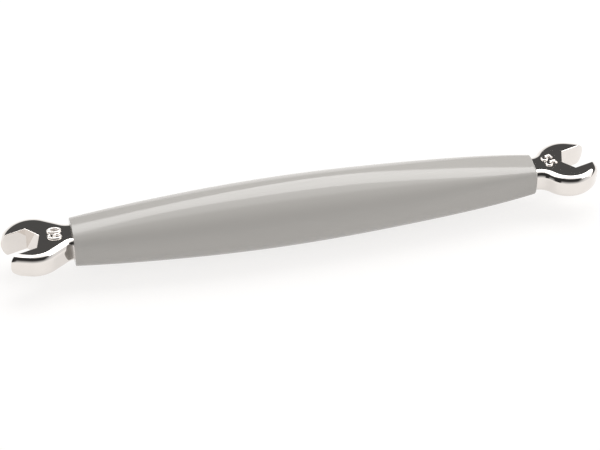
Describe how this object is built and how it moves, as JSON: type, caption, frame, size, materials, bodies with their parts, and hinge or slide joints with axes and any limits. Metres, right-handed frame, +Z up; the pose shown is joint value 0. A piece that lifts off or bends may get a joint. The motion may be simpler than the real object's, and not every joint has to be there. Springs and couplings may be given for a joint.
{
  "type": "spoke wrench",
  "caption": "Slim double-ended spoke wrench with a barrel-shaped moulded handle and an angled open hexagonal steel head at either end.",
  "frame": {"origin": "under the middle of the tool, on the surface that it rests on: halfway between the tips of the longer jaws, on the handle's centre line, level with the handle's lowest line", "axes": "+X along the handle towards the 5.5 mm jaw, +Y towards the side that the 5.5 mm mouth is turned to, +Z up"},
  "size_m": [0.1234, 0.0146, 0.0137],
  "materials": {
    "grip_plastic": "glossy mid-grey moulding",
    "nickel_steel": "bright nickel plate on cast steel"
  },
  "bodies": {
    "root": {"handle": "grip_plastic", "head_6_0": "nickel_steel", "head_5_5": "nickel_steel"}
  },
  "joints": []
}
